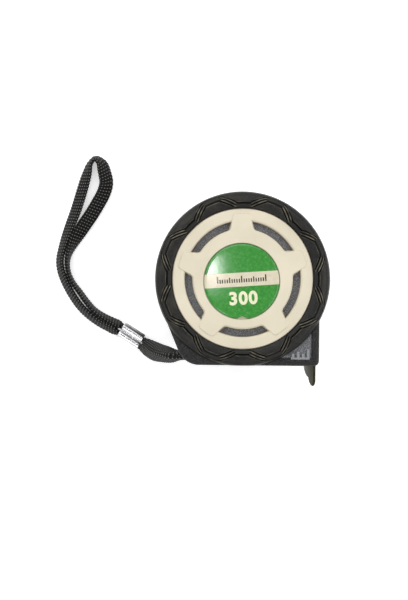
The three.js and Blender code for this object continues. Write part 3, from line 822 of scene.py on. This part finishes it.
def make_plate(name, side, recessed, node):
    """A face plate as a fine polar grid, open at the slots and closed underneath."""
    inside = [0.02, 6, 11] + list(np.linspace(12.9, 15.6, 26)) + list(np.linspace(15.9, 18.1, 7))
    middle = list(np.linspace(18.35, 19.5, 14)) + [20.0, 20.5] + list(np.linspace(20.85, 22.8, 22))
    outside = list(np.linspace(23.1, 24.8, 12)) + list(np.linspace(25.1, DISC_RADIUS, 9))
    radii = np.array(inside + middle + outside)
    columns = 900
    angles = full_turn(columns)
    radius, angle = np.meshgrid(radii, angles, indexing="ij")
    x, y = radius * np.cos(angle), radius * np.sin(angle)
    height, slot = plate_height(x, y, recessed)
    top = np.stack([x, y, height], 2).reshape(-1, 3)
    bottom = top.copy()
    bottom[:, 2] = DISC_BASE_HALF
    count = len(top)
    rows = len(radii)
    in_slot = (slot[:-1] < -0.1) & (slot[1:] < -0.1)
    kept, faces = ~(in_slot & np.roll(in_slot, -1, 1)), []
    for i, j in zip(*np.nonzero(kept)):
        a, b = i * columns + j, i * columns + (j + 1) % columns
        c, d = b + columns, a + columns
        faces.append((a, d, c, b))
        faces.append((a + count, b + count, c + count, d + count))
        for other, edge in (((i - 1, j), (a, b)), ((i + 1, j), (c, d)),
                            ((i, (j + 1) % columns), (b, c)), ((i, (j - 1) % columns), (d, a))):
            beyond = other[0] < 0 or other[0] >= rows - 1
            if beyond or not kept[other]:
                faces.append((edge[0], edge[1], edge[1] + count, edge[0] + count))
    plate = mesh_piece(name, np.vstack([top, bottom]), faces, sharp=38)
    loose = np.ones(2 * count, bool)
    loose[np.unique([v for f in faces for v in f])] = False
    drop_vertices(plate.data, loose)
    flip_side(plate, side)
    return dress(plate, CREAM, "case", "disc_plastic", node)


def drop_vertices(mesh, unwanted):
    work = bmesh.new()
    work.from_mesh(mesh)
    work.verts.ensure_lookup_table()
    bmesh.ops.delete(work, geom=[work.verts[i] for i in np.nonzero(unwanted)[0]], context="VERTS")
    work.to_mesh(mesh)
    work.free()


make_plate("front_plate", 1, True, "front_disc")
make_plate("rear_plate", -1, False, "rear_disc")

# ---- Case halves ----


def case_outline():
    """A round case with a straight base, an upright front wall and a leaning rear wall."""
    base = -CASE_RADIUS
    tangent = math.pi + REAR_WALL_TILT
    foot = polar(CASE_RADIUS, tangent)
    fall = (foot[1] - base) / math.cos(REAR_WALL_TILT)
    corner_x = foot[0] + fall * math.sin(REAR_WALL_TILT)
    setback = REAR_CORNER_RADIUS / math.tan((math.pi / 2 + REAR_WALL_TILT) / 2)
    top = -math.acos(FRONT_WALL_X / CASE_RADIUS)
    r = FRONT_CORNER_RADIUS
    front_corner = arc(r, -math.pi / 2, 0, 9, FRONT_WALL_X - r, base + r)
    r = REAR_CORNER_RADIUS
    rear_corner = arc(r, tangent, 1.5 * math.pi, 20, corner_x + setback, base + r)
    return front_corner + arc(CASE_RADIUS, top, tangent, 150) + rear_corner


def ring_prism(name, outer, inner, low, high):
    """A ring with square edges."""
    rings = [(outer, low), (outer, high), (inner, high), (inner, low)]
    points = [(x, y, height) for radius, height in rings for x, y in disc_outline(radius, steps=192)]
    return mesh_piece(name, points, grid_faces(4, 192, True, True))


def pocket_block():
    half = 4.2
    out = polar(1, POCKET_ANGLE)
    across = np.array((-out[1], out[0])) * half
    start = np.array(STRAP_PIN) - out * 4.0
    end = start + out * 14
    corners = [start - across, end - across, end + across, start + across]
    return prism("pocket", corners, -1, half, edge=0.6, steps=4)


def make_case_half(name, side, node):
    shell = prism(name, case_outline(), GAP / 2, CORNER_HALF, edge=1.6, steps=6)
    seat = CASE_RADIUS + GAP
    right, foot = FRONT_WALL_X - PANEL_INSET, -CASE_RADIUS + PANEL_INSET
    panel = [(right, foot), (right, PANEL_TOP), (15, PANEL_TOP), (PANEL_LEFT, foot)]
    seams = [box_outline(right - SEAM_WIDTH, foot, right, PANEL_TOP),
             box_outline(PANEL_LEFT, foot, right, foot + SEAM_WIDTH)]
    cutters = [
        prism("seat", disc_outline(seat, steps=192), SEAT_HALF, CORNER_HALF + 1),
        ring_prism("groove", seat, BUMPER_SKIRT_RADIUS - GAP, SKIRT_HALF - GAP, SEAT_HALF + 1),
        prism("cavity", disc_outline(CAVITY_RADIUS), -1, CAVITY_HALF),
        prism("panel", panel, CORNER_HALF - PANEL_DEPTH, CORNER_HALF + 1),
        *(prism("seam", seam, CORNER_HALF - 1.5, CORNER_HALF) for seam in seams),
        pocket_block(),
        prism("channel", box_outline(4, -27.4, 40, -20.6), -1.5, 9.3),
        prism("hook_way", box_outline(23, -40, 41, -20.5), -1.6, 9.3),
    ]
    if side < 0:
        heads = [disc_outline(2.4, *polar(SCREW_CIRCLE_RADIUS, a), steps=40) for a in SCREW_ANGLES]
        cutters += [prism("head", head, 11.4, CORNER_HALF + 2) for head in heads]
    crisp(edge_rounding(cut_away(shell, cutters), 0.28), 42)
    dress(shell, GRAINED, "case", "case_plastic", node)
    shell.data.materials.append(ETCHED)
    for face in shell.data.polygons:
        x, y, out = (c / MM for c in face.center)
        floor = out < CORNER_HALF - 0.5 and abs(face.normal.z) > 0.9
        in_panel = x > PANEL_LEFT and y < PANEL_TOP
        face.material_index = int(floor and (math.hypot(x, y) < 25 or in_panel))
    return flip_side(shell, side)


make_case_half("front_case", 1, "front_shell")
make_case_half("rear_case", -1, "rear_shell")


def embossed_scale(name, side):
    """A short raised scale of plain ticks in the corner panel."""
    base, top = CORNER_HALF - 0.65, CORNER_HALF + 0.05
    foot = -30.0
    rail = prism(name, box_outline(18.4, foot, 25.4, foot + 0.8), base, top)
    ticks = []
    for i, height in enumerate((3.9, 2.2, 3.0, 2.2)):
        x = 24.9 - 1.9 * i
        ticks.append(prism(f"tick_{i}", box_outline(x - 0.5, foot, x + 0.5, foot + height), base, top))
    combined(rail, ticks, "UNION")
    flip_side(crisp(edge_rounding(rail, 0.14), 40), side)
    return dress(rail, RAISED, "case", "case_plastic")


embossed_scale("front_corner_scale", 1)

# ---- Label ----
LABEL_TURN = math.radians(4)
BAND_HALF_HEIGHT = 2.6
BAND_RISE = 0.67
LABEL_TOP = 15.2
LABEL_EDGE_RADIUS = 13.1  # where the dome starts to fall to its edge
TICK_HALF = 0.23


def label_dome(x, y):
    radius = np.hypot(x - LABEL_CENTRE[0], y - LABEL_CENTRE[1])
    fall = 0.25 * smooth(radius, LABEL_EDGE_RADIUS, LABEL_RADIUS) ** 2
    return LABEL_TOP + 0.12 * (1 - (radius / LABEL_RADIUS) ** 2) - fall


def turned_about_label(points):
    c, s = math.cos(LABEL_TURN), math.sin(LABEL_TURN)
    x, y = np.asarray(points, float).T
    return np.stack([x * c - y * s, x * s + y * c], 1) + np.array(LABEL_CENTRE)


def make_label():
    """The domed label, with a small bite out of its lower edge."""
    edge = LABEL_RADIUS - 0.05
    radii = [*np.linspace(0.02, 13, 22), *np.linspace(LABEL_EDGE_RADIUS, edge, 10)]
    columns = 240
    angles = full_turn(columns)
    notch = np.abs((angles - 1.5 * math.pi - 0.02 + math.pi) % (2 * math.pi) - math.pi) * LABEL_RADIUS
    bite = 1.15 * np.clip(1 - notch / 2.3, 0, 1)
    points = []
    for radius in radii:
        reach = np.minimum(radius, edge - bite)
        x, y = LABEL_CENTRE[0] + reach * np.cos(angles), LABEL_CENTRE[1] + reach * np.sin(angles)
        points.append(np.stack([x, y, label_dome(x, y)], 1))
    underside = [points[-1].copy(), points[0].copy()]
    for ring in underside:
        ring[:, 2] = LABEL_FLOOR_HALF + 0.06
    points += underside
    faces = grid_faces(len(points), columns, True, True, flip=True)
    label = flip_side(mesh_piece("face_label", np.vstack(points), faces, sharp=50), 1)
    return dress(label, FILM, "case", "label", "front_label")


def make_band():
    """The pale band across the label, as a strip of narrow columns so that it follows the dome."""
    reach = LABEL_RADIUS - 0.12
    rows, columns = 13, 90
    levels = BAND_RISE + BAND_HALF_HEIGHT * np.linspace(-1, 1, rows)
    x, y = np.meshgrid(np.linspace(-reach, reach, columns), levels)
    limit = np.sqrt(np.maximum(reach ** 2 - y ** 2, 0))
    flat = turned_about_label(np.stack([np.clip(x, -limit, limit).ravel(), y.ravel()], 1))
    sheets = [np.column_stack([flat, label_dome(*flat.T) + level]) for level in (0.03, -0.03)]
    band = flip_side(closed_sheet("label_band", sheets, rows, columns, 60), 1)
    return dress(band, CREAM_INK, "case", "label")


def make_digits():
    """The tape's length in centimetres, in plain bold figures."""
    font = bpy.data.curves.new("label_figures", "FONT")
    font.body = "300"
    font.size = 6.6 * MM
    font.offset = 0.26 * MM
    font.extrude = 0.02 * MM
    font.resolution_u = 6
    font.align_x = "CENTER"
    font.align_y = "CENTER"
    font.space_character = 1.12
    holder = add_object("label_figures_curve", font)
    graph = bpy.context.evaluated_depsgraph_get()
    mesh = bpy.data.meshes.new_from_object(holder.evaluated_get(graph))
    bpy.data.objects.remove(holder)
    figures = add_object("label_figures", mesh)
    for vertex in mesh.vertices:
        flat = turned_about_label([(vertex.co.x / MM + 0.15, vertex.co.y / MM - 6.55)])[0]
        height = MID_Z + float(label_dome(*flat)) + 0.03
        vertex.co = Vector((flat[0] * MM, flat[1] * MM, vertex.co.z + height * MM))
    return dress(figures, PALE_INK, "case", "label")


def make_band_ticks():
    """A plain printed scale in the middle of the band."""
    points, faces = [], []
    for i in range(21):
        x, foot = -9.0 + 0.9 * i, BAND_RISE - 1.1
        length = 2.5 if i % 10 == 0 else 2.0 if i % 5 == 0 else 1.4
        flat = turned_about_label(box_outline(x - TICK_HALF, foot, x + TICK_HALF, foot + length))
        a = len(points)
        for level in (0.06, 0.0):
            points += [(*p, float(label_dome(*p)) + level) for p in flat]
        faces += [(a, a + 1, a + 2, a + 3), (a + 7, a + 6, a + 5, a + 4)]
        faces += [(a + k, a + 4 + k, a + 4 + (k + 1) % 4, a + (k + 1) % 4) for k in range(4)]
    ticks = flip_side(mesh_piece("label_ticks", points, faces, sharp=30), 1)
    return dress(ticks, DARK_INK, "case", "label")


make_label()
make_band()
make_band_ticks()
make_digits()

# ---- Hook, blade and rivets ----
HOOK_LEG_START = 15.0
HOOK_BEND_X = 24.6
HOOK_BEND_RADIUS = 1.0
HOOK_THICKNESS = 0.9
# Distance across the plate and how far below the leg its edge lies there: a short slanted lobe, a notch
# and a long lobe.
HOOK_EDGE = [(-8.0, 7.2), (-5.2, 7.9), (-3.4, 9.2), (-0.8, 10.6), (1.2, 11.4), (2.4, 11.7), (3.0, 11.5),
             (3.3, 12.4), (4.2, 13.6), (5.2, 14.4), (6.2, 14.9), (6.8, 14.75), (7.4, 14.1), (7.8, 13.2),
             (8.0, 12.2)]


def make_hook():
    """A pressed hook: its leg follows the blade's curve, and its flat plate has two uneven lobes."""
    leg_y = BLADE_Y - BLADE_HALF_THICKNESS - GAP - HOOK_THICKNESS / 2
    leg, bend = HOOK_BEND_X - HOOK_LEG_START, HOOK_BEND_RADIUS * math.pi / 2
    straight = leg + bend + 0.8
    columns = 65
    share = np.linspace(-1, 1, columns)
    to_edge = np.interp(share * BLADE_HALF_WIDTH, *zip(*HOOK_EDGE)) + bend - HOOK_BEND_RADIUS + leg - straight
    leg_rows = np.concatenate([[0, 0.12, 0.3], np.linspace(0.8, leg, 18), leg + np.linspace(0.12, bend, 10)])
    drop_rows = 1 - (1 - np.linspace(0, 1, 26)) ** 1.6
    along = np.vstack([np.repeat(leg_rows[:, None], columns, 1), straight + drop_rows[:, None] * to_edge])
    half_width = np.interp(along, [leg - 0.5, leg + 1.5], [5.6, BLADE_HALF_WIDTH])
    across = share * half_width
    side_edge = np.clip((half_width - np.abs(across)) / 0.3, 0, 1)
    end_edge = np.clip(np.minimum(along, straight + to_edge - along) / 0.3, 0, 1)
    soft = np.sqrt(1 - 0.8 * (1 - np.minimum(side_edge, end_edge)) ** 2)
    spread = across / BLADE_HALF_WIDTH
    curved = BLADE_SAGITTA * spread ** 2
    middle = curved + (spread ** 2 + 1.3 * spread - curved) * smooth(along, leg, straight + 3)
    turn = np.clip((along - leg) / HOOK_BEND_RADIUS, 0, math.pi / 2)
    fall = np.maximum(0, along - leg - bend)
    sheets = []
    for level in (1, -1):
        lift = middle + level * HOOK_THICKNESS / 2 * soft
        x = HOOK_LEG_START + np.minimum(along, leg) + (HOOK_BEND_RADIUS + lift) * np.sin(turn)
        y = leg_y - HOOK_BEND_RADIUS * (1 - np.cos(turn)) - fall + lift * np.cos(turn)
        sheets.append(np.stack([x, y, across + MID_Z], 2).reshape(-1, 3))
    hook = closed_sheet("hook_plate", sheets, len(along), columns, 55)
    slots = []
    for x in RIVET_XS:
        slot = prism("slot", arc(0.98, math.pi / 2, 1.5 * math.pi, 12, x - HOOK_TRAVEL)
                     + arc(0.98, -math.pi / 2, math.pi / 2, 12, x), -4, 4)
        for vertex in slot.data.vertices:
            px, py, pz = vertex.co
            vertex.co = Vector((px, pz + BLADE_Y * MM, -py + MID_Z * MM))
        slots.append(slot)
    crisp(cut_away(hook, slots), 55)
    return dress(hook, HOOK_STEEL, "hook", "hook_steel", "end_hook")


def blade_lacquer(zero):
    """Yellow lacquer with a millimetre scale counted back from the hook."""
    look = Look("blade_lacquer", roughness=0.3)
    place = look.nodes.new("ShaderNodeTexCoord")
    place.object = zero
    split = look.nodes.new("ShaderNodeSeparateXYZ")
    look.links.new(place.outputs["Object"], split.inputs[0])
    back = look.times(split.outputs["X"], -1 / MM)
    across = look.times(split.outputs["Z"], 1 / MM)

    def lines(pitch, width, reach):
        """Lines every `pitch` mm, `width` mm thick, from both edges to `reach` mm in."""
        part = look.math("FRACT", look.math("DIVIDE", look.math("ADD", back, width / 2), pitch))
        thin = look.math("LESS_THAN", part, width / pitch)
        edge = look.math("GREATER_THAN", look.math("ABSOLUTE", across), BLADE_HALF_WIDTH - reach)
        return look.times(thin, edge)

    scale = look.math("MAXIMUM", lines(1, 0.22, 2.2), lines(5, 0.26, 3.2))
    scale = look.math("MAXIMUM", scale, lines(10, 0.32, 5.2))
    part = look.math("FRACT", look.math("DIVIDE", look.math("ADD", back, 1.2), 100))
    red = look.math("LESS_THAN", part, 0.024)
    red = look.times(red, look.math("LESS_THAN", look.math("ABSOLUTE", across), 2.4))
    wear_and_painted_light = look.noise(2.5, 4)
    yellow = look.ramp(wear_and_painted_light, [(0.3, linear(236, 190, 44)), (0.7, linear(247, 208, 66))])
    look.colour(look.mix(red, look.mix(scale, yellow, linear(24, 22, 20)), linear(186, 30, 24)))
    look.rough(look.span(wear_and_painted_light, 0.24, 0.38))
    return look.material


def make_blade():
    """The straight blade from the coil to the hook, with its scale counted from a point that rides on the
    blade.
    """
    start, end, thickness = 1.5, 24.6, 0.22
    xs = np.concatenate([np.linspace(start, 13.9, 26), np.linspace(14.2, end, 60)])
    across = np.linspace(-BLADE_HALF_WIDTH, BLADE_HALF_WIDTH, 25)
    sagitta = BLADE_SAGITTA * smooth(xs, 3, 14)
    sheets = []
    for level in (0.5, -0.5):
        x, w = np.meshgrid(xs, across, indexing="ij")
        y = BLADE_Y + level * thickness + sagitta[:, None] * (w / BLADE_HALF_WIDTH) ** 2
        sheets.append(np.stack([x, y, w + MID_Z], 2).reshape(-1, 3))
    blade = closed_sheet("blade_strip", sheets, len(xs), len(across), 40)
    zero = add_object("blade_zero", None)
    zero.location = (26.0 * MM, BLADE_Y * MM, MID_Z * MM)
    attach(zero, "blade")
    lacquer = blade_lacquer(zero)
    dress(blade, lacquer, None, "blade_steel", "blade_lead")
    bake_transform(blade)
    return lacquer


def turned_piece(name, profile, columns, place, axis="Y"):
    """A profile of radii and heights turned about an axis through a place."""
    turn = full_turn(columns)
    points = []
    for radius, height in profile:
        ring = np.stack([radius * np.cos(turn), radius * np.sin(turn), np.full(columns, height)], 1)
        points.append(ring if axis == "Z" else ring[:, [0, 2, 1]] * (1, 1, -1))
    faces = capped_faces(len(profile), columns)
    return mesh_piece(name, np.vstack(points) + np.array(place), faces, sharp=35)


def make_rivets():
    low = -BLADE_HALF_THICKNESS - 2 * GAP - HOOK_THICKNESS
    profile = [(0.05, low - 0.58), (0.8, low - 0.5), (1.3, low - 0.25), (1.45, low - 0.02), (0.66, low),
               (0.66, 0.5), (1.45, 0.52), (1.35, 0.75), (0.95, 0.98), (0.05, 1.1)]
    for i, x in enumerate(RIVET_XS):
        rivet = turned_piece(f"blade_rivet_{i + 1}", profile, 32, (x, BLADE_Y, MID_Z))
        dress(rivet, NICKEL, "blade", "bright_steel", f"hook_rivet_{i + 1}")


make_hook()
BLADE_LACQUER = make_blade()
make_rivets()

# ---- Belt clip, screws and pin ----
CLIP_WIDTH = 16.0
CLIP_SCREW_Y = 17.0


def make_clip():
    """A bent strip of sheet steel with round ends."""
    pad = MID_Z - DISC_TOP_HALF - GAP - 0.5
    bends = [(22, pad), (16, pad), (11.6, pad), (9.9, pad - 1.5), (8.0, 0.55), (5, 0.5), (-8, 0.5),
             (-18.4, 0.5), (-20.4, 1.1), (-23.6, 2.95)]
    line, _ = curve_through([(0, y, z) for y, z in bends], 0.35)
    line[:, 2] = np.clip(line[:, 2], 0.5, pad)
    normal = np.cross((1.0, 0, 0), unit(np.gradient(line, axis=0)))
    along = distance_along(line)
    to_end = np.minimum(along, along[-1] - along)
    corner, columns = 3.2, 41
    near_end = np.clip(to_end / corner, 0, 1)
    half = (CLIP_WIDTH / 2 - corner * (1 - np.sqrt(1 - (1 - near_end) ** 2)))[:, None]
    across = half * np.linspace(-1, 1, columns)
    edge = np.clip((half - np.abs(across)) / 0.3, 0, 1)
    thick = 0.98 * np.sqrt(1 - 0.7 * (1 - edge) ** 2) * np.clip(to_end / 0.35, 0.3, 1)[:, None]
    middle = line[:, None] + across[:, :, None] * (1, 0, 0)
    sheets = [(middle + level * thick[:, :, None] * normal[:, None]).reshape(-1, 3) for level in (0.5, -0.5)]
    clip = closed_sheet("clip_strip", sheets, len(line), columns, 50)
    crisp(cut_away(clip, [prism("hole", disc_outline(1.6, 0, CLIP_SCREW_Y, 48), 0, 8)]), 50)
    return dress(clip, CLIP_STEEL, "case", "bright_steel", "belt_clip")


def make_screw(name, node, material, x, y, head_z, head_radius, head_height, shank_radius, length):
    """A pan-head screw seen from below, with a cross recess and a threaded shank."""
    profile = [(0.05, 0.0), (head_radius * 0.5, 0.02), (head_radius * 0.85, 0.16), (head_radius, 0.5),
               (head_radius, head_height), (shank_radius, head_height + 0.02)]
    pitch = 0.7
    for i in range(int(length / pitch)):
        z = head_height + 0.4 + pitch * i
        profile += [(shank_radius * 0.8, z), (shank_radius, z + 0.35)]
    profile.append((0.1, head_height + length))
    piece = turned_piece(name, profile, 40, (x, y, head_z), axis="Z")
    arm, half = head_radius * 0.5, 0.28
    cross = [
        prism("arm", box_outline(x - arm, y - half, x + arm, y + half), head_z - 1, head_z + 0.75),
        prism("arm", box_outline(x - half, y - arm, x + half, y + arm), head_z - 1.1, head_z + 0.76),
    ]
    crisp(cut_away(piece, cross), 35)
    return dress(piece, material, "case", "spring_steel" if node.startswith("case") else "bright_steel", node)


def make_screws():
    for i, angle in enumerate(SCREW_ANGLES):
        x, y = polar(SCREW_CIRCLE_RADIUS, angle)
        make_screw(f"case_fixing_{i + 1}", f"case_screw_{i + 1}", SCREW_STEEL, x, y, MID_Z - 12.8,
                   head_radius=2.1, head_height=1.1, shank_radius=1.1, length=18)
    head = MID_Z - DISC_TOP_HALF - GAP - 1 - GAP - 1.3
    make_screw("clip_fixing", "belt_clip_screw", NICKEL, 0, CLIP_SCREW_Y, head,
               head_radius=2.9, head_height=1.3, shank_radius=1.2, length=7)


def make_pin():
    low, high = MID_Z - 7.6, MID_Z + 7.6
    profile = [(0.05, low), (0.95, low), (1.1, low + 0.15), (1.1, high - 0.15), (0.95, high), (0.05, high)]
    pin = turned_piece("pocket_pin", profile, 32, (*STRAP_PIN, 0), axis="Z")
    dress(pin, SPRING_STEEL, "case", "spring_steel", "strap_pin")


make_clip()
make_screws()
make_pin()

# ---- The CAD pieces inside the case stay as they are, apart from their material ----
INNER_LOOKS = {
    "spring_spindle": SPRING_STEEL,
    "power_spring": SPRING_STEEL,
    "reel_drum": REEL,
    "reel_cap": REEL,
    "blade_coil": BLADE_LACQUER,
}
for node, material in INNER_LOOKS.items():
    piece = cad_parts[node]
    piece.data.materials.clear()
    piece.data.materials.append(material)

# ---- Floor and light ----


def make_floor():
    look = Look("pale_floor", roughness=0.9)
    look.colour(look.ramp(look.noise(60, 2), [(0.3, (0.9, 0.9, 0.9)), (0.7, (0.92, 0.92, 0.92))]))
    look.set(Emission_Color=(1, 1, 1, 1), Emission_Strength=0.47)
    size = 6000
    corners = [(x, y, 0) for x, y in box_outline(-size, -size, size, size)]
    floor = mesh_piece("floor", corners, [(0, 1, 2, 3)])
    floor.data.materials.append(look.material)


def soft_light(name, place, size, power, aim=(0, 0, 20)):
    data = bpy.data.lights.new(name, "AREA")
    data.shape = "RECTANGLE"
    data.size, data.size_y = size[0] * MM, size[1] * MM
    data.energy = power
    lamp = add_object(name, data)
    lamp.location = Vector(place) * MM
    lamp.rotation_mode = "QUATERNION"
    lamp.rotation_quaternion = (Vector(aim) * MM - lamp.location).to_track_quat("-Z", "Y")


def make_light():
    world = bpy.data.worlds.new("room")
    bpy.context.scene.world = world
    world.use_nodes = True
    nodes, links = world.node_tree.nodes, world.node_tree.links
    split = nodes.new("ShaderNodeSeparateXYZ")
    links.new(nodes.new("ShaderNodeTexCoord").outputs["Generated"], split.inputs[0])
    sky = nodes.new("ShaderNodeValToRGB")
    stops = ((0.25, (0.95, 0.95, 0.96, 1)), (0.95, (0.3, 0.3, 0.3, 1)))
    for element, (position, colour) in zip(sky.color_ramp.elements, stops):
        element.position, element.color = position, colour
    links.new(split.outputs["Z"], sky.inputs[0])
    links.new(sky.outputs[0], nodes["Background"].inputs["Color"])
    soft_light("key", (-260, 460, 620), (860, 860), 3.6)
    soft_light("fill", (540, -60, 480), (800, 800), 2.2)
    soft_light("window", (-38, 42, 1200), (30, 62), 0.17, aim=(-38, 42, 0))
    soft_light("strip", (-260, -420, 560), (160, 480), 0.5)
    bpy.context.scene.view_settings.view_transform = "Standard"


make_floor()
make_light()
